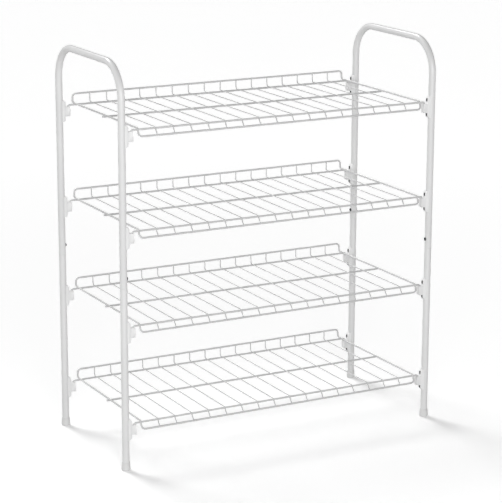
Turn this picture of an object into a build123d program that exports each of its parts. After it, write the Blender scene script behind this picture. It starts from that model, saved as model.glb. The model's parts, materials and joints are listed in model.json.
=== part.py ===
from build123d import *
from math import asin, atan2, cos, hypot, sin, tan
import os

os.makedirs("parts", exist_ok=True)

# Tiered wire shoe rack. Millimetres. Origin on the floor, midway between the four posts.
# X runs along the shelves, -Y is the front (the side where the shelves dip), +Z is up.

# ---- driving dimensions ----
POST_X = 313.5          # post axis from the middle, sideways
POST_Y = 135.5          # post axis from the middle, front to back
TUBE_R = 6.5            # outer radius of the post tube
TUBE_WALL = 1.2
HOOP_TOP = 723.5        # height of the tube's axis along the top of an upper frame
HOOP_BEND_R = 60.5      # bend radius of the upper frame, on the tube's axis
SEAM_Z = 333.0          # where an upper frame meets its lower legs
TIERS = {"bottom": 85.0, "lower": 263.5, "upper": 433.0, "top": 611.0}   # height of the rails

# lower leg and its swaged neck inside the upper frame
NECK_LENGTH = 40.0
NECK_R = 5.15
NECK_WALL = 1.1
SHOULDER = 1.2          # length of the swage's shoulder
SCREW_Z = 350.5         # frame screw, through the upper frame and the neck
SCREW_SHANK_R = 1.7
SCREW_HOLE_R = 1.8
SCREW_HEAD_R = 3.2
SCREW_HEAD_HEIGHT = 1.8
SCREW_LENGTH = 6.0

# foot cap
FOOT_HEIGHT = 15.0
FOOT_TOP_R = 7.4
FOOT_BOTTOM_R = 8.2
FOOT_FLOOR = 3.5        # thickness under the end of the tube
FOOT_EDGE_R = 1.6
FOOT_GRIP = 0.05        # gap between the cap's wall and the tube

# shelf wires
RAIL_R = 1.8
CROSS_R = 1.1
WELD = 0.4              # how far two welded rails sink into each other
CROSS_WELD = 0.3        # and a cross wire into a rail
LOOP_X = 285.0          # side wires of the perimeter loop
LIP_RISE = 19.0         # back rail of the loop above the deck rails
LIP_SETBACK = 6.0       # and behind the rear deck rail
DIP_DROP = 11.0         # front rail of the loop below the deck rails
DIP_REACH = 8.5         # and in front of the front deck rail
MIDDLE_RAIL_X = 288.6   # free end of the middle rail
LOOP_LIP_BEND = 5.0
LOOP_CORNER_BEND = 7.0
LOOP_DIP_BEND = 4.0
CROSS_COUNT = 16
CROSS_LIP_BEND = 4.0
CROSS_DIP_BEND = 3.5
CROSS_OVERRUN = 1.0     # how far a cross wire runs past the rail that it ends on

# hooked ends of the two outer deck rails
HOOK_X = POST_X - 16.0  # axis of the bent-down end
HOOK_BEND = 4.5
HOOK_LENGTH = 15.5      # from the rail's axis down to the tip
HOOK_CHAMFER = 0.6

# shelf clip; its own axes are the post's axis, +X towards the shelf, and the rails' height
CLIP_TOP = 10.0
CLIP_BOTTOM = -29.5
CLIP_FACE = 10.8        # flat inner face of the saddle, from the post's axis
CLIP_HALF_WIDTH = 5.2
CLIP_TIP = 7.6          # the saddle's tapered ends
CLIP_TAPER = 4.5
CLIP_CORNER_R = 1.6
CLIP_GRIP = 0.05
BLOCK_TOP = -2.3
BLOCK_BOTTOM = -20.0
BLOCK_REACH = 20.0
BLOCK_HALF_WIDTH = 4.6
BLOCK_CHAMFER_OUT = 1.6
BLOCK_CHAMFER_UP = 1.8
SOCKET_R = 2.3
SOCKET_FLOOR = -15.9
SLOT_FLOOR = -5.2       # notch in the block's top for the rail's bend
WINDOW_Z = (3.8, -23.4)
WINDOW_WIDTH = 4.0
WINDOW_HEIGHT = 6.4
PEG_WALL = 1.0
PEG_TIP = 4.2           # the peg's end, from the post's axis
TUBE_SLOT_PLAY = 0.1    # tube slot around the peg, each side

PLASTIC_EDGE = 0.5      # softened edges of the moulded parts

POSTS = {
    "left_front": (-1, -1),
    "left_rear": (-1, 1),
    "right_front": (1, -1),
    "right_rear": (1, 1),
}
INNER_R = TUBE_R - TUBE_WALL
LOOP_RISE = 2 * RAIL_R - WELD                # side wires above the rails they rest on
CROSS_RISE = RAIL_R + CROSS_R - CROSS_WELD   # cross wires above the rails they rest on
LIP_Y = POST_Y + LIP_SETBACK
DIP_Y = -POST_Y - DIP_REACH


def round_wire(path, radius):
    """A round wire along a path of straight runs joined by arcs."""
    start = Plane(origin=path @ 0, z_dir=path % 0)
    return sweep(start * Circle(radius), path=path)


# ---- posts: upper frames and lower legs ----

def obround_through(width, height, x_from, x_to):
    """A bar of obround section along X, tall in Z, centred on the X axis."""
    outline = Plane.YZ * SlotOverall(height, width, rotation=90)
    return Pos(x_from, 0, 0) * extrude(outline, x_to - x_from, dir=(1, 0, 0))


def toward_shelf(side):
    """Turns a shape drawn with the shelf on its +X side to face the middle of the rack."""
    return Rot(0, 0, 180) if side > 0 else Rot(0, 0, 0)


def tube_slots(side, front, low, high):
    """The punched slots for the clips' pegs, in the stretch of a post from low to high."""
    width = WINDOW_WIDTH + 2 * PEG_WALL + 2 * TUBE_SLOT_PLAY
    height = WINDOW_HEIGHT + 2 * PEG_WALL + 2 * TUBE_SLOT_PLAY
    slot = obround_through(width, height, 0, TUBE_R + 2)
    place = Pos(side * POST_X, front * POST_Y, 0)
    levels = [rail + offset for rail in TIERS.values() for offset in WINDOW_Z]
    return [place * toward_shelf(side) * Pos(0, 0, z) * slot for z in levels if low < z < high]


def screw_hole(side, front):
    hole = Rot(0, 90, 0) * Cylinder(SCREW_HOLE_R, TUBE_R + 2, align=(Align.CENTER, Align.CENTER, Align.MIN))
    return Pos(side * POST_X, front * POST_Y, SCREW_Z) * toward_shelf(side) * hole


def make_hoop(side):
    """One tube bent into an upside-down U, with clip slots and screw holes down both legs."""
    path = FilletPolyline(
        (side * POST_X, -POST_Y, SEAM_Z),
        (side * POST_X, -POST_Y, HOOP_TOP),
        (side * POST_X, POST_Y, HOOP_TOP),
        (side * POST_X, POST_Y, SEAM_Z),
        radius=HOOP_BEND_R,
    )
    tube = round_wire(path, TUBE_R) - round_wire(path, INNER_R)
    for front in (-1, 1):
        for slot in tube_slots(side, front, SEAM_Z, HOOP_TOP):
            tube -= slot
        tube -= screw_hole(side, front)
    return tube


def make_leg(side, front):
    """Straight lower leg: plain tube with a swaged neck on its top."""
    shoulder_z = SEAM_Z - SHOULDER
    neck_inner = NECK_R - NECK_WALL
    profile = Polyline(
        (INNER_R, FOOT_FLOOR),
        (TUBE_R, FOOT_FLOOR),
        (TUBE_R, shoulder_z + 0.6),
        (TUBE_R - 0.6, SEAM_Z),
        (NECK_R, SEAM_Z),
        (NECK_R, SEAM_Z + NECK_LENGTH - 1.0),
        (NECK_R - 0.5, SEAM_Z + NECK_LENGTH),
        (neck_inner, SEAM_Z + NECK_LENGTH),
        (neck_inner, shoulder_z - 0.4),
        (INNER_R, shoulder_z - 2.4),
        close=True,
    )
    leg = revolve(Plane.XZ * make_face(profile), Axis.Z)
    leg = Pos(side * POST_X, front * POST_Y, 0) * leg
    for slot in tube_slots(side, front, 0, SEAM_Z):
        leg -= slot
    return leg - screw_hole(side, front)


def make_foot(side, front):
    """Flared plastic cap pushed over the end of a leg."""
    bore = TUBE_R + FOOT_GRIP
    profile = Polyline(
        (0, 0),
        (FOOT_BOTTOM_R, 0),
        (FOOT_BOTTOM_R, FOOT_FLOOR),
        (FOOT_TOP_R, FOOT_HEIGHT),
        (bore, FOOT_HEIGHT),
        (bore, FOOT_FLOOR),
        (0, FOOT_FLOOR),
        close=True,
    )
    cap = revolve(Plane.XZ * make_face(profile), Axis.Z)
    rim = cap.edges().filter_by(GeomType.CIRCLE).group_by(Axis.Z)[0]
    cap = fillet(rim, FOOT_EDGE_R)
    return Pos(side * POST_X, front * POST_Y, 0) * cap


def make_frame_screws():
    """The four self-tapping screws that lock the upper frames to the legs."""
    seat = TUBE_R
    head = Cylinder(SCREW_HEAD_R, SCREW_HEAD_HEIGHT, align=(Align.CENTER, Align.CENTER, Align.MIN))
    head = fillet(head.edges().filter_by(GeomType.CIRCLE).group_by(Axis.Z)[-1], SCREW_HEAD_HEIGHT * 0.8)
    drive = Pos(0, 0, SCREW_HEAD_HEIGHT) * (Box(3.2, 0.8, 1.6) + Box(0.8, 3.2, 1.6))
    shank = Cylinder(SCREW_SHANK_R, SCREW_LENGTH, align=(Align.CENTER, Align.CENTER, Align.MAX))
    shank = chamfer(shank.edges().filter_by(GeomType.CIRCLE).group_by(Axis.Z)[0], 0.8)
    screw = Pos(seat, 0, 0) * Rot(0, 90, 0) * (head - drive + shank)
    screws = []
    for side, front in POSTS.values():
        screws.append(Pos(side * POST_X, front * POST_Y, SCREW_Z) * toward_shelf(side) * screw)
    return Compound(children=[s.solid() for s in screws])


# ---- shelf clips ----

def make_clip():
    """One moulded clip, drawn around a post on the origin with the rails at height 0."""
    saddle_side = Polyline(
        (0, CLIP_BOTTOM),
        (CLIP_TIP, CLIP_BOTTOM),
        (CLIP_FACE, CLIP_BOTTOM + CLIP_TAPER),
        (CLIP_FACE, CLIP_TOP - CLIP_TAPER),
        (CLIP_TIP, CLIP_TOP),
        (0, CLIP_TOP),
        close=True,
    )
    saddle = extrude(Plane.XZ * make_face(saddle_side), CLIP_HALF_WIDTH, both=True)
    long_edges = saddle.edges().filter_by(Axis.Z).filter_by(lambda e: e.center().X > 1)
    saddle = fillet(long_edges, CLIP_CORNER_R)

    block_side = Polyline(
        (CLIP_TIP, BLOCK_TOP),
        (BLOCK_REACH, BLOCK_TOP),
        (BLOCK_REACH, BLOCK_BOTTOM + BLOCK_CHAMFER_UP),
        (BLOCK_REACH - BLOCK_CHAMFER_OUT, BLOCK_BOTTOM),
        (CLIP_TIP, BLOCK_BOTTOM),
        close=True,
    )
    block = extrude(Plane.XZ * make_face(block_side), BLOCK_HALF_WIDTH, both=True)
    outer_edges = block.edges().filter_by(lambda e: e.center().X > CLIP_FACE + 0.5)
    block = fillet(outer_edges, PLASTIC_EDGE)

    clip = saddle + block
    clip -= Cylinder(TUBE_R + CLIP_GRIP, 80)

    # socket for the rail's bent end, and the notch that lets its bend down into the block
    leg_x = POST_X - HOOK_X
    socket_depth = BLOCK_TOP - SOCKET_FLOOR + 1
    socket = Cylinder(SOCKET_R, socket_depth, align=(Align.CENTER, Align.CENTER, Align.MIN))
    clip -= Pos(leg_x, 0, SOCKET_FLOOR) * socket
    notch_height = BLOCK_TOP - SLOT_FLOOR + 1
    notch = Box(8, 2 * SOCKET_R, notch_height, align=(Align.MIN, Align.CENTER, Align.MIN))
    clip -= Pos(leg_x, 0, SLOT_FLOOR) * notch

    # hollow snap pegs through the tube's slots, open to the shelf side
    for z in WINDOW_Z:
        peg = obround_through(WINDOW_WIDTH + 2 * PEG_WALL, WINDOW_HEIGHT + 2 * PEG_WALL, PEG_TIP, CLIP_TIP)
        window = obround_through(WINDOW_WIDTH, WINDOW_HEIGHT, PEG_TIP - 1, CLIP_FACE + 1)
        clip = clip + Pos(0, 0, z) * peg - Pos(0, 0, z) * window
    return clip


# ---- wire shelves ----

def make_perimeter_wire(rail_z):
    """The closed loop: raised at the back, level along the sides, dropped at the front."""
    # The slanted front legs pass in front of the front deck rail and rest against it, so their
    # line touches a circle of radius LOOP_RISE round that rail.
    slant = atan2(DIP_DROP, DIP_REACH) + asin(LOOP_RISE / hypot(DIP_REACH, DIP_DROP))
    knee_y = -POST_Y - LOOP_RISE * tan(slant / 2)
    side_z = rail_z + LOOP_RISE
    lip_z = rail_z + LIP_RISE
    dip_z = rail_z - DIP_DROP

    right_half = FilletPolyline(
        (0, LIP_Y, lip_z),
        (LOOP_X, LIP_Y, lip_z),
        (LOOP_X, LIP_Y, side_z),
        (LOOP_X, knee_y, side_z),
        (LOOP_X, DIP_Y, dip_z),
        (0, DIP_Y, dip_z),
        radius=[LOOP_CORNER_BEND, LOOP_LIP_BEND, LOOP_DIP_BEND, LOOP_CORNER_BEND],
    )
    half = round_wire(right_half, RAIL_R)
    return half + mirror(half, about=Plane.YZ)


def make_deck_rail(rail_z, y):
    """Front or rear deck rail, with both ends bent down into the clips' sockets."""
    tip_z = rail_z - HOOK_LENGTH
    path = FilletPolyline(
        (-HOOK_X, y, tip_z),
        (-HOOK_X, y, rail_z),
        (HOOK_X, y, rail_z),
        (HOOK_X, y, tip_z),
        radius=HOOK_BEND,
    )
    rail = round_wire(path, RAIL_R)
    return chamfer(rail.edges().filter_by(GeomType.CIRCLE).group_by(Axis.Z)[0], HOOK_CHAMFER)


def make_middle_rail(rail_z):
    rail = Pos(0, 0, rail_z) * Rot(0, 90, 0) * Cylinder(RAIL_R, 2 * MIDDLE_RAIL_X)
    return chamfer(rail.edges().filter_by(GeomType.CIRCLE), HOOK_CHAMFER)


def make_cross_wires(rail_z):
    """The thin wires across the deck: up inside the back lip, over the rails, down outside the dip."""
    slant = atan2(DIP_DROP, DIP_REACH)
    deck_z = rail_z + CROSS_RISE
    lip_y = LIP_Y - CROSS_RISE
    knee_y = -POST_Y - CROSS_RISE * tan(slant / 2)
    end_y = DIP_Y - CROSS_RISE * sin(slant) - CROSS_OVERRUN * cos(slant)
    end_z = rail_z - DIP_DROP + CROSS_RISE * cos(slant) - CROSS_OVERRUN * sin(slant)
    path = FilletPolyline(
        (0, lip_y, rail_z + LIP_RISE + CROSS_OVERRUN),
        (0, lip_y, deck_z),
        (0, knee_y, deck_z),
        (0, end_y, end_z),
        radius=[CROSS_LIP_BEND, CROSS_DIP_BEND],
    )
    wire = round_wire(path, CROSS_R)
    pitch = 2 * LOOP_X / (CROSS_COUNT + 1)
    wires = [Pos(-LOOP_X + pitch * (i + 1), 0, 0) * wire for i in range(CROSS_COUNT)]
    return Compound(children=[w.solid() for w in wires])


# ---- write every node ----

def save(shape, name):
    export_step(shape, f"parts/{name}.step")


save(make_hoop(-1), "left_hoop")
save(make_hoop(1), "right_hoop")
for post, (side, front) in POSTS.items():
    save(make_leg(side, front), f"{post}_leg")
    save(make_foot(side, front), f"{post}_foot")
save(make_frame_screws(), "frame_screws")

clip = make_clip()
for tier, rail_z in TIERS.items():
    for post, (side, front) in POSTS.items():
        placed = Pos(side * POST_X, front * POST_Y, rail_z) * toward_shelf(side) * clip
        save(placed, f"{tier}_{post}_clip")
    save(make_perimeter_wire(rail_z), f"{tier}_perimeter_wire")
    save(make_deck_rail(rail_z, POST_Y), f"{tier}_rear_rail")
    save(make_deck_rail(rail_z, -POST_Y), f"{tier}_front_rail")
    save(make_middle_rail(rail_z), f"{tier}_middle_rail")
    save(make_cross_wires(rail_z), f"{tier}_cross_wires")
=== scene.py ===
import json
import math
import random

import bmesh
import bpy
from mathutils import Matrix, Vector


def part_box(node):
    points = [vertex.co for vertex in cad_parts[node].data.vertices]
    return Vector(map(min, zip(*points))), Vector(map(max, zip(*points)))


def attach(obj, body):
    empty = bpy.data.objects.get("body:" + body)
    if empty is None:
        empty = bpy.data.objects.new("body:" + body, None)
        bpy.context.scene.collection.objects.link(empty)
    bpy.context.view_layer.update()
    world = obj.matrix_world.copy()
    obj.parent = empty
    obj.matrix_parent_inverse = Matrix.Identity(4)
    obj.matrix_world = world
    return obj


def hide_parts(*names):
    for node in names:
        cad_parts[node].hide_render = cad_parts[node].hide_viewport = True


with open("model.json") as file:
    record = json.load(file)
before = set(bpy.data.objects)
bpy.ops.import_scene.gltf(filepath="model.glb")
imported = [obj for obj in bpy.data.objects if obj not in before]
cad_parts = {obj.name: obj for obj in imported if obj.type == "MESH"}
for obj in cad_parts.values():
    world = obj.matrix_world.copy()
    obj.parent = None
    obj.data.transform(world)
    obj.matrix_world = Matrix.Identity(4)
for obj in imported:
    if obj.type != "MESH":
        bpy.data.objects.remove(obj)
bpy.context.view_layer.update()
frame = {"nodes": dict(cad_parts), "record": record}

# Everything is in metres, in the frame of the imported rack: +X along the shelves, -Y the front, +Z up.
MM = 0.001
scene = bpy.context.scene

# ---- where things are, read from the frame ----


def centre(node):
    low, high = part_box(node)
    return (low + high) / 2


TIERS = ("bottom", "lower", "upper", "top")
POSTS = {m["name"].removesuffix("_foot_face"): Vector(m["pos_m"]) for m in frame["record"]["mounts"]}
RAIL_LEVEL = {tier: centre(f"{tier}_middle_rail").z for tier in TIERS}

# ---- sizes of the sections and bends, as on the real tube and wire ----

TUBE_R = 6.5 * MM
TUBE_BORE = 5.3 * MM
HOOP_BEND = 60.5 * MM          # on the tube's axis
NECK_R = 5.15 * MM             # swaged top of a lower leg
NECK_BORE = 4.05 * MM
SEAM_ROUND = 0.7 * MM
RAIL_R = 1.8 * MM
CROSS_R = 1.1 * MM
WELD_SINK = 0.4 * MM           # rail into rail
CROSS_SINK = 0.3 * MM          # cross wire into rail
LOOP_CORNER = 7 * MM           # bends of the perimeter loop
LOOP_LIP_BEND = 5 * MM
LOOP_DIP_BEND = 4 * MM
HOOK_BEND = 4.5 * MM           # of a deck rail's ends
CROSS_LIP_BEND = 4 * MM
CROSS_DIP_BEND = 3.5 * MM
CROSS_OVERRUN = 1 * MM
CROSS_COUNT = 16
WIRE_SIDES = 24
TUBE_SIDES = 64
ARC_STEP = math.radians(6)

CLIP_WINDOWS = (3.8 * MM, -23.4 * MM)     # heights of a clip's two pegs above its shelf's rails
CLIP_WINDOW_R = 2 * MM         # the pegs' hollows are obround
CLIP_WINDOW_STRAIGHT = 2.4 * MM
# painted shade: near-black colour laid on the walls of the clips' windows, standing in for their shadowed
# inside
WINDOW_SHADE_COLOUR = (0.06, 0.06, 0.062)

# ---- mesh helpers ----


def finished_mesh(name, verts, faces, sharp=35):
    mesh = bpy.data.meshes.new(name)
    mesh.from_pydata([tuple(v) for v in verts], [], faces)
    mesh.validate()
    fix_normals(mesh)
    smooth_mesh(mesh, sharp)
    return mesh


def smooth_mesh(mesh, sharp=35):
    """Smooth shading with true edges kept where faces meet at more than sharp degrees."""
    mesh.polygons.foreach_set("use_smooth", [True] * len(mesh.polygons))
    mesh.set_sharp_from_angle(angle=math.radians(sharp))
    mesh.update()


def rounded_route(corners, bends):
    """Points along straight runs joined by arcs of these bend radii, one for each inner corner."""
    points = [Vector(corners[0])]
    for before, corner, after, bend in zip(corners, corners[1:], corners[2:], bends):
        before, corner, after = Vector(before), Vector(corner), Vector(after)
        back = (before - corner).normalized()
        on = (after - corner).normalized()
        turn = math.pi - back.angle(on)
        start = corner + back * bend * math.tan(turn / 2)
        middle = corner + (back + on).normalized() * bend / math.cos(turn / 2)
        axis = on.cross(back).normalized()
        steps = max(3, math.ceil(turn / ARC_STEP))
        for i in range(steps + 1):
            points.append(middle + Matrix.Rotation(turn * i / steps, 3, axis) @ (start - middle))
    points.append(Vector(corners[-1]))
    return points


def ring_frames(points, closed):
    """Two directions across the route at each point, carried along without twist."""
    count = len(points)
    run_count = count if closed else count - 1
    runs = [(points[(i + 1) % count] - points[i]).normalized() for i in range(run_count)]
    along = []
    for i in range(count):
        if closed:
            along.append((runs[i - 1] + runs[i]).normalized())
        else:
            along.append((runs[max(i - 1, 0)] + runs[min(i, count - 2)]).normalized())
    across = along[0].orthogonal().normalized()
    frames = []
    for i in range(count):
        if i:
            across = along[i - 1].rotation_difference(along[i]) @ across
        across = (across - along[i] * across.dot(along[i])).normalized()
        frames.append((across.copy(), along[i].cross(across)))
    return along, frames


def rings(points, radii, sides, closed=False):
    """Circles of points around a route, one for each of its points."""
    along, frames = ring_frames(points, closed)
    circles = []
    for point, radius, (u, v) in zip(points, radii, frames):
        angles = [2 * math.pi * k / sides for k in range(sides)]
        circles.append([point + (u * math.cos(a) + v * math.sin(a)) * radius for a in angles])
    return circles


def skin(circles, closed=False, shift=0):
    """Quads between neighbouring circles. closed joins the last to the first, turned by shift points."""
    sides = len(circles[0])
    verts = [v for circle in circles for v in circle]
    faces = []
    pairs = len(circles) if closed else len(circles) - 1
    for i in range(pairs):
        j = (i + 1) % len(circles)
        turn = shift if j == 0 else 0
        for k in range(sides):
            n = (k + 1) % sides
            near = (i * sides + k, i * sides + n)
            far = (j * sides + (n + turn) % sides, j * sides + (k + turn) % sides)
            faces.append(near + far)
    return verts, faces


def eased_ends(points, radius, ease):
    """The route and a radius for each of its points, with both ends rounded over by ease."""
    turns = [math.radians(a) for a in (90, 60, 30, 0)]
    inset = [ease * (1 - math.sin(a)) for a in turns]
    shrink = [ease * (1 - math.cos(a)) for a in turns]
    first = (points[1] - points[0]).normalized()
    last = (points[-2] - points[-1]).normalized()
    head = [points[0] + first * d for d in inset]
    tail = [points[-1] + last * d for d in reversed(inset)]
    taper = [radius - d for d in shrink]
    return head + points[1:-1] + tail, taper + [radius] * (len(points) - 2) + taper[::-1]


def wire_mesh(name, points, radius, ease=0.35 * MM):
    """A solid round wire with eased ends."""
    points, radii = eased_ends(points, radius, ease)
    circles = rings(points, radii, WIRE_SIDES)
    verts, faces = skin(circles)
    last = len(verts) - WIRE_SIDES
    faces.append(tuple(reversed(range(WIRE_SIDES))))
    faces.append(tuple(range(last, last + WIRE_SIDES)))
    return finished_mesh(name, verts, faces)


def loop_mesh(name, points, radius):
    """A closed wire. The last circle is joined to the nearest points of the first."""
    circles = rings(points, [radius] * len(points), WIRE_SIDES, closed=True)
    target = circles[0]
    last = circles[-1]
    gap = []
    for shift in range(WIRE_SIDES):
        gap.append(sum((last[k] - target[(k + shift) % WIRE_SIDES]).length for k in range(WIRE_SIDES)))
    verts, faces = skin(circles, closed=True, shift=gap.index(min(gap)))
    return finished_mesh(name, verts, faces)


def lathe(name, profile, sides=TUBE_SIDES, close=False):
    """A turned shape about +Z from (radius, height) points, with a flat face at an end whose radius is 0."""
    ends = [profile[0][0] == 0, profile[-1][0] == 0]
    points = profile[1 if ends[0] else 0: len(profile) - 1 if ends[1] else len(profile)]
    angles = [2 * math.pi * k / sides for k in range(sides)]
    circles = [[Vector((r * math.cos(a), r * math.sin(a), z)) for a in angles] for r, z in points]
    verts, faces = skin(circles, closed=close)
    if ends[0]:
        faces.append(tuple(reversed(range(sides))))
    if ends[1]:
        faces.append(tuple(range(len(verts) - sides, len(verts))))
    return finished_mesh(name, verts, faces)


def placed(mesh, matrix):
    mesh.transform(matrix)
    mesh.update()
    return mesh


def bar(outline, x_from, x_to):
    """A closed prism along X from a (y, z) outline."""
    count = len(outline)
    verts = [Vector((x, y, z)) for x in (x_from, x_to) for y, z in outline]
    faces = [(k, (k + 1) % count, count + (k + 1) % count, count + k) for k in range(count)]
    faces.append(tuple(reversed(range(count))))
    faces.append(tuple(range(count, 2 * count)))
    return verts, faces


def obround(width, height, steps=12):
    """(y, z) outline of a slot with round top and bottom."""
    r = width / 2
    rise = height / 2 - r
    angles = [math.pi * k / steps for k in range(steps + 1)]
    top = [(r * math.cos(a), rise + r * math.sin(a)) for a in angles]
    return top + [(-y, -z) for y, z in top]


def disc(radius, steps=24):
    angles = [2 * math.pi * k / steps for k in range(steps)]
    return [(radius * math.cos(a), radius * math.sin(a)) for a in angles]


def merged(parts):
    """One (verts, faces) from several."""
    verts, faces = [], []
    for part_verts, part_faces in parts:
        start = len(verts)
        verts.extend(part_verts)
        faces.extend(tuple(start + i for i in face) for face in part_faces)
    return verts, faces


def moved(part, matrix):
    verts, faces = part
    return [matrix @ v for v in verts], faces


def cut(mesh, cutters):
    """mesh with the cutters' solids taken away."""
    verts, faces = merged(cutters)
    tool_mesh = bpy.data.meshes.new("cutter")
    tool_mesh.from_pydata([tuple(v) for v in verts], [], faces)
    fix_normals(tool_mesh)
    fix_normals(mesh)
    tool = bpy.data.objects.new("cutter", tool_mesh)
    work = bpy.data.objects.new("work", mesh)
    scene.collection.objects.link(tool)
    scene.collection.objects.link(work)
    modifier = work.modifiers.new("cut", "BOOLEAN")
    modifier.operation = "DIFFERENCE"
    modifier.solver = "EXACT"
    modifier.object = tool
    depsgraph = bpy.context.evaluated_depsgraph_get()
    result = bpy.data.meshes.new_from_object(work.evaluated_get(depsgraph))
    result.name = mesh.name
    bpy.data.objects.remove(work)
    bpy.data.objects.remove(tool)
    bpy.data.meshes.remove(tool_mesh)
    smooth_mesh(result)
    return result


def fix_normals(mesh):
    work = bmesh.new()
    work.from_mesh(mesh)
    bmesh.ops.recalc_face_normals(work, faces=work.faces)
    work.to_mesh(mesh)
    work.free()


def add_piece(name, mesh, material, body, replaced=(), matrix=None):
    """Puts a finished mesh in the scene as a piece of the rack, riding on a CAD body."""
    if not mesh.materials:
        mesh.materials.append(material)
    piece = bpy.data.objects.new(name, mesh)
    scene.collection.objects.link(piece)
    if matrix is not None:
        piece.matrix_world = matrix
    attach(piece, body)
    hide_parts(*replaced)
    return piece


# ---- materials ----


def node(tree, kind, **values):
    made = tree.nodes.new(kind)
    for key, value in values.items():
        setattr(made, key, value)
    return made


def noise(tree, coordinates, scale, detail=2.0, roughness=0.5):
    made = node(tree, "ShaderNodeTexNoise")
    made.inputs["Scale"].default_value = scale
    made.inputs["Detail"].default_value = detail
    made.inputs["Roughness"].default_value = roughness
    tree.links.new(coordinates, made.inputs["Vector"])
    return made.outputs["Fac"]


def remap(tree, value, low, high, new_low, new_high):
    made = node(tree, "ShaderNodeMapRange")
    limits = {"From Min": low, "From Max": high, "To Min": new_low, "To Max": new_high}
    for key, number in limits.items():
        made.inputs[key].default_value = number
    tree.links.new(value, made.inputs["Value"])
    return made.outputs["Result"]


def blended(tree, factor, first, second):
    """A colour between two; each is three numbers or another colour output."""
    made = node(tree, "ShaderNodeMix", data_type="RGBA")
    tree.links.new(factor, made.inputs["Factor"])
    for key, colour in (("A", first), ("B", second)):
        socket = [s for s in made.inputs if s.name == key and s.type == "RGBA"][0]
        if isinstance(colour, tuple):
            socket.default_value = (*colour, 1)
        else:
            tree.links.new(colour, socket)
    return [s for s in made.outputs if s.type == "RGBA"][0]


def arith(tree, operation, a, b=0.0):
    made = node(tree, "ShaderNodeMath", operation=operation)
    for socket, value in zip(made.inputs, (a, b)):
        if isinstance(value, (int, float)):
            socket.default_value = value
        else:
            tree.links.new(value, socket)
    return made.outputs[0]


def bumped(tree, height, depth, under=None):
    """A normal from a height that runs from 0 to 1, with depth in metres."""
    made = node(tree, "ShaderNodeBump")
    made.inputs["Strength"].default_value = 1.0
    made.inputs["Distance"].default_value = depth
    tree.links.new(height, made.inputs["Height"])
    if under is not None:
        tree.links.new(under, made.inputs["Normal"])
    return made.outputs["Normal"]


def new_material(name):
    material = bpy.data.materials.new(name)
    material.use_nodes = True
    tree = material.node_tree
    shader = tree.nodes["Principled BSDF"]
    coordinates = node(tree, "ShaderNodeTexCoord").outputs["Object"]
    return material, tree, shader, coordinates


def powder_coat(name, colour, rubbed, peel_scale):
    """Satin white powder coat: orange peel, fine grain, slightly uneven film, faint rub marks on top."""
    material, tree, shader, at = new_material(name)
    film = noise(tree, at, 14, 4, 0.55)
    base = blended(tree, remap(tree, film, 0.35, 0.65, 0, 1), colour, tuple(c * 0.965 for c in colour))
    up = node(tree, "ShaderNodeSeparateXYZ")
    tree.links.new(node(tree, "ShaderNodeNewGeometry").outputs["Normal"], up.inputs[0])
    upward = remap(tree, up.outputs["Z"], 0.75, 1.0, 0, 1)
    scuffs = remap(tree, noise(tree, at, 120, 6, 0.7), 0.56, 0.7, 0, 0.5)
    base = blended(tree, arith(tree, "MULTIPLY", upward, scuffs), base, rubbed)
    tree.links.new(base, shader.inputs["Base Color"])
    gloss = noise(tree, at, 45, 3, 0.6)
    tree.links.new(remap(tree, gloss, 0.3, 0.7, 0.3, 0.42), shader.inputs["Roughness"])
    peel = bumped(tree, noise(tree, at, peel_scale, 2, 0.45), 0.055 * MM)
    grain = bumped(tree, noise(tree, at, peel_scale * 6, 2, 0.6), 0.006 * MM, peel)
    tree.links.new(grain, shader.inputs["Normal"])
    shader.inputs["IOR"].default_value = 1.5
    shader.inputs["Coat Weight"].default_value = 0.15
    shader.inputs["Coat Roughness"].default_value = 0.18
    return material


def moulded_plastic(name, colour, edge_colour, hollow_shade=None):
    """White injection-moulded plastic: fine spark-eroded texture, faint flow marks, rubbed edges.

    The optional last argument makes from (tree, object coordinates) a mask of the deep hollows, where the
    colour is darkened to painted shade.
    """
    material, tree, shader, at = new_material(name)
    stretch = node(tree, "ShaderNodeMapping")
    stretch.inputs["Scale"].default_value = (1, 1, 0.25)
    tree.links.new(at, stretch.inputs["Vector"])
    flow = noise(tree, stretch.outputs["Vector"], 160, 3, 0.5)
    base = blended(tree, remap(tree, flow, 0.35, 0.65, 0, 1), colour, tuple(c * 0.97 for c in colour))
    pointed = node(tree, "ShaderNodeNewGeometry").outputs["Pointiness"]
    edge = remap(tree, pointed, 0.53, 0.6, 0, 0.7)
    base = blended(tree, edge, base, edge_colour)
    if hollow_shade:
        # painted shade: the clips' window walls are coloured near black
        base = blended(tree, hollow_shade(tree, at), base, WINDOW_SHADE_COLOUR)
    tree.links.new(base, shader.inputs["Base Color"])
    sheen = noise(tree, at, 300, 3, 0.6)
    tree.links.new(remap(tree, sheen, 0.3, 0.7, 0.42, 0.56), shader.inputs["Roughness"])
    texture = bumped(tree, noise(tree, at, 3200, 2, 0.7), 0.012 * MM)
    sink = bumped(tree, noise(tree, at, 220, 2, 0.4), 0.05 * MM, texture)
    tree.links.new(sink, shader.inputs["Normal"])
    shader.inputs["IOR"].default_value = 1.47
    return material


def clip_window_shade(tree, at):
    """Mask for painted shade: 1 on the walls of a clip's two obround windows, 0 from their rims outward."""
    across = node(tree, "ShaderNodeSeparateXYZ")
    tree.links.new(at, across.inputs[0])
    sideways = arith(tree, "POWER", arith(tree, "ABSOLUTE", across.outputs["Y"]), 2)
    shade_masks = []
    for height in CLIP_WINDOWS:
        off = arith(tree, "ABSOLUTE", arith(tree, "SUBTRACT", across.outputs["Z"], height))
        past = arith(tree, "MAXIMUM", arith(tree, "SUBTRACT", off, CLIP_WINDOW_STRAIGHT / 2), 0)
        out = arith(tree, "SQRT", arith(tree, "ADD", sideways, arith(tree, "POWER", past, 2)))
        shade_masks.append(remap(tree, out, CLIP_WINDOW_R + 0.03 * MM, CLIP_WINDOW_R + 0.12 * MM, 1, 0))
    return arith(tree, "MAXIMUM", *shade_masks)


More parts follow.
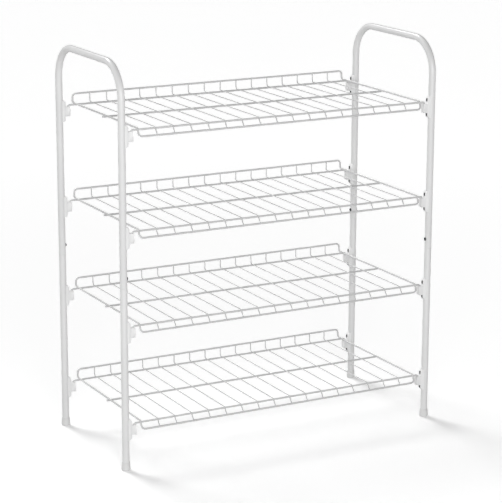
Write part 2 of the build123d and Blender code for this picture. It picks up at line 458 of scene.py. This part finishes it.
def dark_zinc(name):
    """Black zinc-plated screw: dark metal with brighter worn edges and fine turning marks."""
    material, tree, shader, at = new_material(name)
    patch = noise(tree, at, 500, 4, 0.6)
    tint = remap(tree, patch, 0.35, 0.65, 0, 1)
    base = blended(tree, tint, (0.055, 0.056, 0.062), (0.11, 0.11, 0.118))
    pointed = node(tree, "ShaderNodeNewGeometry").outputs["Pointiness"]
    base = blended(tree, remap(tree, pointed, 0.53, 0.62, 0, 0.8), base, (0.35, 0.34, 0.33))
    tree.links.new(base, shader.inputs["Base Color"])
    tree.links.new(remap(tree, patch, 0.3, 0.7, 0.28, 0.45), shader.inputs["Roughness"])
    tree.links.new(bumped(tree, noise(tree, at, 2400, 3, 0.6), 0.01 * MM), shader.inputs["Normal"])
    shader.inputs["Metallic"].default_value = 1.0
    return material


frame_coat = powder_coat("frame_coat", (0.79, 0.79, 0.79), (0.7, 0.695, 0.685), 480)
wire_coat = powder_coat("wire_coat", (0.67, 0.67, 0.67), (0.61, 0.605, 0.595), 700)
# the clips' plastic carries painted shade on its window walls
clip_plastic = moulded_plastic("clip_plastic", (0.88, 0.88, 0.88), (0.92, 0.92, 0.92), clip_window_shade)
foot_plastic = moulded_plastic("foot_plastic", (0.76, 0.76, 0.755), (0.82, 0.82, 0.815))
screw_steel = dark_zinc("screw_steel")

# ---- end frames: bent upper tubes and lower legs ----

PEG_SLOT = (6.2 * MM, 8.6 * MM)           # width and height of the tube's slots for the clips' pegs
SCREW_HOLE_R = 1.8 * MM
NECK_EASE = (0.5 * MM, 0.8 * MM)          # lead-in at the neck's end, inwards and down
SWAGE = (1.6 * MM, 3.6 * MM)              # where the bore narrows to the neck's, below the seam
SEAM_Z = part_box("left_hoop")[0].z
SCREW_Z = centre("frame_screws").z
HOOP_AXIS_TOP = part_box("left_hoop")[1].z - TUBE_R
LEG_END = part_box("left_front_leg")[0].z
NECK_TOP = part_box("left_front_leg")[1].z


def facing(post):
    """Turns a shape drawn with the shelf on its +X side to face the middle of the rack."""
    return Matrix.Rotation(math.pi if post.x > 0 else 0, 4, "Z")


def post_holes(post, low, high):
    """Cutters for the peg slots and the screw hole in the stretch of a post from low to high."""
    slot_bar = bar(obround(*PEG_SLOT), 0, TUBE_R + 3 * MM)
    hole_bar = bar(disc(SCREW_HOLE_R), 0, TUBE_R + 3 * MM)
    heights = [(level + window, slot_bar) for level in RAIL_LEVEL.values() for window in CLIP_WINDOWS]
    heights.append((SCREW_Z, hole_bar))
    at_post = Matrix.Translation((post.x, post.y, 0)) @ facing(post)
    inside = [(z, shape) for z, shape in heights if low < z < high]
    return [moved(shape, at_post @ Matrix.Translation((0, 0, z))) for z, shape in inside]


def hoop_mesh(side):
    """The upside-down U: a real pipe with a bore, its cut ends eased."""
    front, rear = POSTS[f"{side}_front"], POSTS[f"{side}_rear"]
    route = rounded_route(
        [
            (front.x, front.y, SEAM_Z),
            (front.x, front.y, HOOP_AXIS_TOP),
            (rear.x, rear.y, HOOP_AXIS_TOP),
            (rear.x, rear.y, SEAM_Z),
        ],
        [HOOP_BEND, HOOP_BEND],
    )
    points, outer = eased_ends(route, TUBE_R, SEAM_ROUND / 2)
    inner = [TUBE_BORE] * len(points)
    along = rings(points, outer, TUBE_SIDES)
    back = rings(points, inner, TUBE_SIDES)
    verts, faces = skin(along + back[::-1], closed=True)
    mesh = finished_mesh(f"{side}_hoop_tube", verts, faces)
    return cut(mesh, post_holes(front, SEAM_Z, HOOP_AXIS_TOP) + post_holes(rear, SEAM_Z, HOOP_AXIS_TOP))


def leg_mesh(name, post):
    """A straight tube, rounded in at the seam to the swaged neck that stands inside the upper tube."""
    ease = []
    for a in (0, 22, 45, 68, 90):
        across, along = math.cos(math.radians(a)), math.sin(math.radians(a))
        ease.append((TUBE_R - SEAM_ROUND * (1 - across), SEAM_Z - SEAM_ROUND * (1 - along)))
    profile = [(TUBE_BORE, LEG_END), (TUBE_R, LEG_END)] + ease + [
        (NECK_R, SEAM_Z),
        (NECK_R, NECK_TOP - NECK_EASE[1]),
        (NECK_R - NECK_EASE[0], NECK_TOP),
        (NECK_BORE, NECK_TOP),
        (NECK_BORE, SEAM_Z - SWAGE[0]),
        (TUBE_BORE, SEAM_Z - SWAGE[1]),
    ]
    mesh = placed(lathe(name, profile, close=True), Matrix.Translation((post.x, post.y, 0)))
    return cut(mesh, post_holes(post, 0, NECK_TOP))


for side in ("left", "right"):
    add_piece(f"{side}_hoop_tube", hoop_mesh(side), frame_coat, "frame", [f"{side}_hoop"])
for post_name, post in POSTS.items():
    leg = leg_mesh(f"{post_name}_leg_tube", post)
    add_piece(f"{post_name}_leg_tube", leg, frame_coat, "frame", [f"{post_name}_leg"])

# ---- foot caps ----

FOOT_TOP_R = 7.4 * MM
FOOT_BOTTOM_R = 8.2 * MM
FOOT_EDGE = 1.6 * MM
FOOT_LIP = 0.35 * MM
FOOT_BORE = 6.52 * MM
FOOT_WAIST = 0.12 * MM         # how far the flare is hollowed half way down


def foot_mesh():
    """Flared push-on cap, drawn on the origin: rounded rim below, eased lip above."""
    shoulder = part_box("left_front_foot")[1].z - FOOT_LIP
    profile = [(0, LEG_END), (FOOT_BORE, LEG_END), (FOOT_BORE, shoulder)]
    for a in (30, 60, 90):
        across, along = math.cos(math.radians(a)), math.sin(math.radians(a))
        profile.append((FOOT_BORE + FOOT_LIP * (1 - across), shoulder + FOOT_LIP * along))
    for a in (0, 30, 60, 90):
        across, along = math.sin(math.radians(a)), math.cos(math.radians(a))
        profile.append((FOOT_TOP_R - FOOT_LIP * (1 - across), shoulder + FOOT_LIP * along))
    # a slight hollow flare down the side
    for k in range(1, 9):
        t = k / 8
        radius = FOOT_TOP_R + (FOOT_BOTTOM_R - FOOT_TOP_R) * t - FOOT_WAIST * math.sin(math.pi * t)
        profile.append((radius, shoulder + (LEG_END - shoulder) * t))
    for a in (0, 15, 30, 45, 60, 75, 90):
        across, along = math.cos(math.radians(a)), math.sin(math.radians(a))
        profile.append((FOOT_BOTTOM_R - FOOT_EDGE * (1 - across), FOOT_EDGE * (1 - along)))
    profile.append((0, 0))
    return lathe("foot_cap", profile)


foot = foot_mesh()
for post_name, post in POSTS.items():
    place = Matrix.Translation((post.x, post.y, 0))
    replaced = [f"{post_name}_foot"]
    add_piece(f"{post_name}_foot_cap", foot, foot_plastic, "frame", replaced, place)

# ---- frame screws ----

SCREW_HEAD_R = 3.2 * MM
SCREW_HEAD_HEIGHT = 1.8 * MM
SCREW_SHANK_R = 1.7 * MM
SCREW_LENGTH = 6 * MM
SCREW_POINT = 0.8 * MM         # chamfer at the shank's end
RECESS_REACH = 1.6 * MM
RECESS_HALF_WIDTH = 0.4 * MM
RECESS_DEPTH = 0.9 * MM


def screw_mesh():
    """Pan-head screw along +X with its seat on the origin, and a cross recess cut in the dome."""
    steps = 10
    dome = []
    for k in range(steps + 1):
        angle = math.pi / 2 * k / steps
        height = SCREW_HEAD_HEIGHT * (0.25 + 0.75 * math.sin(angle))
        dome.append((SCREW_HEAD_R * math.cos(angle) ** 0.8, height))
    profile = [
        (0, -SCREW_LENGTH),
        (SCREW_SHANK_R - SCREW_POINT, -SCREW_LENGTH),
        (SCREW_SHANK_R, -SCREW_LENGTH + SCREW_POINT),
        (SCREW_SHANK_R, 0),
        (SCREW_HEAD_R, 0),
    ]
    profile += dome[:-1] + [(0, SCREW_HEAD_HEIGHT)]
    mesh = placed(lathe("frame_screw", profile, 48), Matrix.Rotation(math.pi / 2, 4, "Y"))
    y, z = RECESS_REACH, RECESS_HALF_WIDTH
    wing = [(-y, -z), (y, -z), (y, z), (-y, z)]
    slot_bar = bar(wing, SCREW_HEAD_HEIGHT - RECESS_DEPTH, SCREW_HEAD_HEIGHT + MM)
    mesh = cut(mesh, [slot_bar])
    return cut(mesh, [moved(slot_bar, Matrix.Rotation(math.pi / 2, 4, "X"))])


screw = screw_mesh()
for post_name, post in POSTS.items():
    twist = Matrix.Rotation(math.radians(23 + 40 * len(post_name)), 4, "X")
    place = Matrix.Translation((post.x, post.y, SCREW_Z)) @ facing(post)
    place = place @ Matrix.Translation((TUBE_R, 0, 0)) @ twist
    name = f"{post_name}_frame_screw"
    add_piece(name, screw, screw_steel, "frame", ["frame_screws"], place)

# ---- clips ----

CLIP_EDGE = 0.22 * MM


def clip_mesh():
    """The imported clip's own shape about its post's axis, with its moulded edges eased."""
    source = frame["nodes"]["bottom_left_front_clip"]
    post = POSTS["left_front"]
    work = bmesh.new()
    work.from_mesh(source.data)
    bmesh.ops.translate(work, verts=work.verts, vec=(-post.x, -post.y, -RAIL_LEVEL["bottom"]))
    bmesh.ops.remove_doubles(work, verts=work.verts, dist=0.002 * MM)
    bmesh.ops.dissolve_limit(work, angle_limit=math.radians(1), verts=work.verts, edges=work.edges)
    mesh = bpy.data.meshes.new("clip")
    work.to_mesh(mesh)
    work.free()
    mesh.materials.clear()
    holder = bpy.data.objects.new("clip", mesh)
    scene.collection.objects.link(holder)
    ease = holder.modifiers.new("ease", "BEVEL")
    ease.width = CLIP_EDGE
    ease.segments = 3
    ease.limit_method = "ANGLE"
    ease.angle_limit = math.radians(38)
    depsgraph = bpy.context.evaluated_depsgraph_get()
    result = bpy.data.meshes.new_from_object(holder.evaluated_get(depsgraph))
    bpy.data.objects.remove(holder)
    result.name = "clip_moulded"
    smooth_mesh(result, 40)
    return result


clip = clip_mesh()
for tier in TIERS:
    for post_name, post in POSTS.items():
        place = Matrix.Translation((post.x, post.y, RAIL_LEVEL[tier])) @ facing(post)
        name = f"{tier}_{post_name}_clip"
        add_piece(f"{name}_moulded", clip, clip_plastic, "frame", [name], place)

# ---- wire shelves ----

# The shelves are alike, so each shape is made once, with height 0 at its deck rails, for every tier.
MODEL = "bottom"
DECK_Y = centre(f"{MODEL}_rear_rail").y
RISE = 2 * RAIL_R - WELD_SINK              # the loop's side wires above the deck rails they lie on
CROSS_RISE = RAIL_R + CROSS_R - CROSS_SINK   # cross wires above the rails they lie on
loop_low, loop_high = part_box(f"{MODEL}_perimeter_wire")
LOOP_X = loop_high.x - RAIL_R
LIP_Y = loop_high.y - RAIL_R
DIP_Y = loop_low.y + RAIL_R
LIP_RISE = loop_high.z - RAIL_R - RAIL_LEVEL[MODEL]
DIP_DROP = RAIL_LEVEL[MODEL] - loop_low.z - RAIL_R
DIP_REACH = -DECK_Y - DIP_Y
CROSS_SLANT = math.atan2(DIP_DROP, DIP_REACH)


def loop_points():
    """The perimeter loop, from the middle of the back lip round by the right side, the front and the left."""
    slant = CROSS_SLANT + math.asin(RISE / math.hypot(DIP_REACH, DIP_DROP))
    knee_y = -DECK_Y - RISE * math.tan(slant / 2)
    right = rounded_route(
        [
            (0, LIP_Y, LIP_RISE),
            (LOOP_X, LIP_Y, LIP_RISE),
            (LOOP_X, LIP_Y, RISE),
            (LOOP_X, knee_y, RISE),
            (LOOP_X, DIP_Y, -DIP_DROP),
            (0, DIP_Y, -DIP_DROP),
        ],
        [LOOP_CORNER, LOOP_LIP_BEND, LOOP_DIP_BEND, LOOP_CORNER],
    )
    left = [Vector((-p.x, p.y, p.z)) for p in reversed(right[1:-1])]
    return right + left


def hooked_rail_points():
    """A deck rail with both ends bent down into the clips."""
    low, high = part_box(f"{MODEL}_rear_rail")
    hook_x = high.x - RAIL_R
    tip = low.z - RAIL_LEVEL[MODEL]
    corners = [(-hook_x, 0, tip), (-hook_x, 0, 0), (hook_x, 0, 0), (hook_x, 0, tip)]
    return rounded_route(corners, [HOOK_BEND, HOOK_BEND])


def middle_rail_points():
    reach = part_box(f"{MODEL}_middle_rail")[1].x
    return [Vector((-reach, 0, 0)), Vector((0, 0, 0)), Vector((reach, 0, 0))]


def cross_points():
    """One cross wire: up inside the back lip, over the deck rails and down outside the front rail."""
    lip_y = LIP_Y - CROSS_RISE
    knee_y = -DECK_Y - CROSS_RISE * math.tan(CROSS_SLANT / 2)
    end_y = DIP_Y - CROSS_RISE * math.sin(CROSS_SLANT) - CROSS_OVERRUN * math.cos(CROSS_SLANT)
    end_z = -DIP_DROP + CROSS_RISE * math.cos(CROSS_SLANT) - CROSS_OVERRUN * math.sin(CROSS_SLANT)
    corners = [
        (0, lip_y, LIP_RISE + CROSS_OVERRUN),
        (0, lip_y, CROSS_RISE),
        (0, knee_y, CROSS_RISE),
        (0, end_y, end_z),
    ]
    return rounded_route(corners, [CROSS_LIP_BEND, CROSS_DIP_BEND])


def cross_places():
    low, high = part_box(f"{MODEL}_cross_wires")
    first, last = low.x + CROSS_R, high.x - CROSS_R
    return [first + (last - first) * i / (CROSS_COUNT - 1) for i in range(CROSS_COUNT)]


def nugget(place, flat_axis, size, thickness):
    """Places a unit ball as a weld's bulge between two wires, flattened along flat_axis."""
    turn = Vector((0, 0, 1)).rotation_difference(flat_axis).to_matrix().to_4x4()
    return Matrix.Translation(place) @ turn @ Matrix.Diagonal((size, size, thickness, 1))


def ball(around=16, up=8):
    """A unit ball as (verts, faces)."""
    circles = []
    angles = [2 * math.pi * k / around for k in range(around)]
    for i in range(1, up):
        tilt = math.pi * i / up - math.pi / 2
        r, z = math.cos(tilt), math.sin(tilt)
        circles.append([Vector((math.cos(a) * r, math.sin(a) * r, z)) for a in angles])
    verts, faces = skin(circles)
    low, high = len(verts), len(verts) + 1
    verts += [Vector((0, 0, -1)), Vector((0, 0, 1))]
    start = low - around
    for k in range(around):
        n = (k + 1) % around
        faces.append((low, n, k))
        faces.append((high, start + k, start + n))
    return verts, faces


def weld_places(wires_x, chance):
    """Where every cross wire and side wire is welded to a rail, as matrices for the bulges."""
    up = Vector((0, 0, 1))
    outward = Vector((0, -math.sin(CROSS_SLANT), math.cos(CROSS_SLANT)))
    touch = RAIL_R - CROSS_SINK / 2
    matrices = []
    for x in wires_x:
        spots = [
            (Vector((x, LIP_Y - touch, LIP_RISE)), Vector((0, 1, 0))),
            (Vector((x, DECK_Y, touch)), up),
            (Vector((x, 0, touch)), up),
            (Vector((x, -DECK_Y, 0)) + outward * touch, outward),
            (Vector((x, DIP_Y, -DIP_DROP)) + outward * touch, outward),
        ]
        for place, axis in spots:
            size, thickness = chance.uniform(1.35, 1.6) * MM, chance.uniform(0.62, 0.78) * MM
            matrices.append(nugget(place, axis, size, thickness))
    for side in (-1, 1):
        for y in (DECK_Y, 0, -DECK_Y):
            place = Vector((side * LOOP_X, y, RAIL_R - WELD_SINK / 2))
            size, thickness = chance.uniform(1.9, 2.2) * MM, chance.uniform(0.8, 0.95) * MM
            matrices.append(nugget(place, up, size, thickness))
    return matrices


def weld_mesh(wires_x):
    unit = ball()
    places = weld_places(wires_x, random.Random(11))
    verts, faces = merged([moved(unit, matrix) for matrix in places])
    return finished_mesh("welds", verts, faces, 80)


wires_x = cross_places()
loop = loop_mesh("perimeter_loop", loop_points(), RAIL_R)
hooked_rail = wire_mesh("hooked_rail", hooked_rail_points(), RAIL_R, 0.6 * MM)
middle_rail = wire_mesh("middle_rail", middle_rail_points(), RAIL_R, 0.5 * MM)
cross_wire = wire_mesh("cross_wire", cross_points(), CROSS_R)
welds = weld_mesh(wires_x)


def add_shelf_piece(tier, name, mesh, x=0, y=0, replaced=()):
    place = Matrix.Translation((x, y, RAIL_LEVEL[tier]))
    return add_piece(f"{tier}_{name}", mesh, wire_coat, f"{tier}_shelf", replaced, place)


for tier in TIERS:
    add_shelf_piece(tier, "perimeter_loop", loop, replaced=[f"{tier}_perimeter_wire"])
    add_shelf_piece(tier, "rear_rail_hooked", hooked_rail, y=DECK_Y, replaced=[f"{tier}_rear_rail"])
    add_shelf_piece(tier, "front_rail_hooked", hooked_rail, y=-DECK_Y, replaced=[f"{tier}_front_rail"])
    add_shelf_piece(tier, "middle_rail_round", middle_rail, replaced=[f"{tier}_middle_rail"])
    for number, x in enumerate(wires_x, 1):
        name = f"cross_wire_{number:02d}"
        add_shelf_piece(tier, name, cross_wire, x=x, replaced=[f"{tier}_cross_wires"])
    add_shelf_piece(tier, "welds", welds)

# ---- floor, light and camera ----

FLOOR_R = 14.0
FLOOR_COLOUR = 0.98
FLOOR_GLOW = (0.23, 0.32)      # near the rack and farther off
FLOOR_GLOW_REACH = (0.5, 2.5)
SKY = ((-0.36, 0.3), (-0.06, 0.95), (0.08, 0.95), (0.3, 0.3), (1.0, 0.06))    # brightness by height


def add_floor():
    """A pale floor, a little lit from within; it doesn't light the rack from below."""
    rim = [Vector((x, y, 0)) for x, y in disc(FLOOR_R, 96)]
    mesh = finished_mesh("floor", rim, [tuple(range(len(rim)))])
    material, tree, shader, at = new_material("studio_floor")
    shader.inputs["Base Color"].default_value = (FLOOR_COLOUR, FLOOR_COLOUR, FLOOR_COLOUR, 1)
    shader.inputs["Roughness"].default_value = 0.8
    shader.inputs["Specular IOR Level"].default_value = 0.0
    distance = node(tree, "ShaderNodeVectorMath", operation="LENGTH")
    tree.links.new(at, distance.inputs[0])
    glow = remap(tree, distance.outputs["Value"], *FLOOR_GLOW_REACH, *FLOOR_GLOW)
    shader.inputs["Emission Color"].default_value = (1, 1, 1, 1)
    tree.links.new(glow, shader.inputs["Emission Strength"])
    mesh.materials.append(material)
    floor = bpy.data.objects.new("floor", mesh)
    floor.visible_diffuse = False
    scene.collection.objects.link(floor)


def add_lamp(lamp, place, target):
    holder = bpy.data.objects.new(lamp.name, lamp)
    scene.collection.objects.link(holder)
    holder.location = place
    holder.rotation_euler = (Vector(target) - Vector(place)).to_track_quat("-Z", "Y").to_euler()


def add_softbox(name, place, target, size, power):
    lamp = bpy.data.lights.new(name, "AREA")
    lamp.shape = "SQUARE"
    lamp.size = size
    lamp.energy = power
    add_lamp(lamp, place, target)


def add_far_key(name, place, target, angle, strength):
    """A light so far off that it falls evenly over the whole floor, with soft-edged shadows."""
    lamp = bpy.data.lights.new(name, "SUN")
    lamp.angle = angle
    lamp.energy = strength
    add_lamp(lamp, place, target)


def add_world():
    """Soft surroundings: white round the horizon, dimmer above and below, brighter on the left."""
    world = bpy.data.worlds.new("studio")
    world.use_nodes = True
    tree = world.node_tree
    direction = node(tree, "ShaderNodeSeparateXYZ")
    tree.links.new(node(tree, "ShaderNodeTexCoord").outputs["Generated"], direction.inputs[0])
    ramp = node(tree, "ShaderNodeValToRGB")
    stops = ramp.color_ramp.elements
    while len(stops) < len(SKY):
        stops.new(0.5)
    for stop, (height, level) in zip(stops, SKY):
        stop.position = (height + 1) / 2
        stop.color = (level, level, level, 1)
    tree.links.new(remap(tree, direction.outputs["Z"], -1, 1, 0, 1), ramp.inputs["Fac"])
    background = tree.nodes["Background"]
    tree.links.new(ramp.outputs["Color"], background.inputs["Color"])
    side = remap(tree, direction.outputs["X"], -1, 0, 1.2, 1)
    tree.links.new(side, background.inputs["Strength"])
    scene.world = world


CAMERA_AZIMUTH = math.radians(-28.26)
CAMERA_HEIGHT_ANGLE = math.radians(14.406)
CAMERA_DISTANCE = 3.69287
CAMERA_TARGET = Vector((9.53 * MM, 0, 330.81 * MM))
CAMERA_ROLL = math.radians(0.189)
CAMERA_LENS = 141.69           # mm, on a 36 mm sensor


def add_camera():
    data = bpy.data.cameras.new("camera")
    data.sensor_width = 36
    data.lens = CAMERA_LENS
    data.clip_end = 60
    camera = bpy.data.objects.new("camera", data)
    scene.collection.objects.link(camera)
    level = math.cos(CAMERA_HEIGHT_ANGLE)
    x, y = math.sin(CAMERA_AZIMUTH) * level, -math.cos(CAMERA_AZIMUTH) * level
    back = Vector((x, y, math.sin(CAMERA_HEIGHT_ANGLE)))
    look = (-back).to_track_quat("-Z", "Y").to_matrix().to_4x4()
    roll = Matrix.Rotation(CAMERA_ROLL, 4, "Z")
    camera.matrix_world = Matrix.Translation(CAMERA_TARGET + back * CAMERA_DISTANCE) @ look @ roll
    scene.camera = camera


add_floor()
add_world()
add_far_key("back_key", (-0.45, 2.3, 2.3), (0, 0, 0), math.radians(24), 2.1)
add_softbox("front_box", (-1.3, -2.9, 1.1), (0, 0, 0.4), 1.2, 50)
add_camera()
scene.view_settings.view_transform = "Standard"
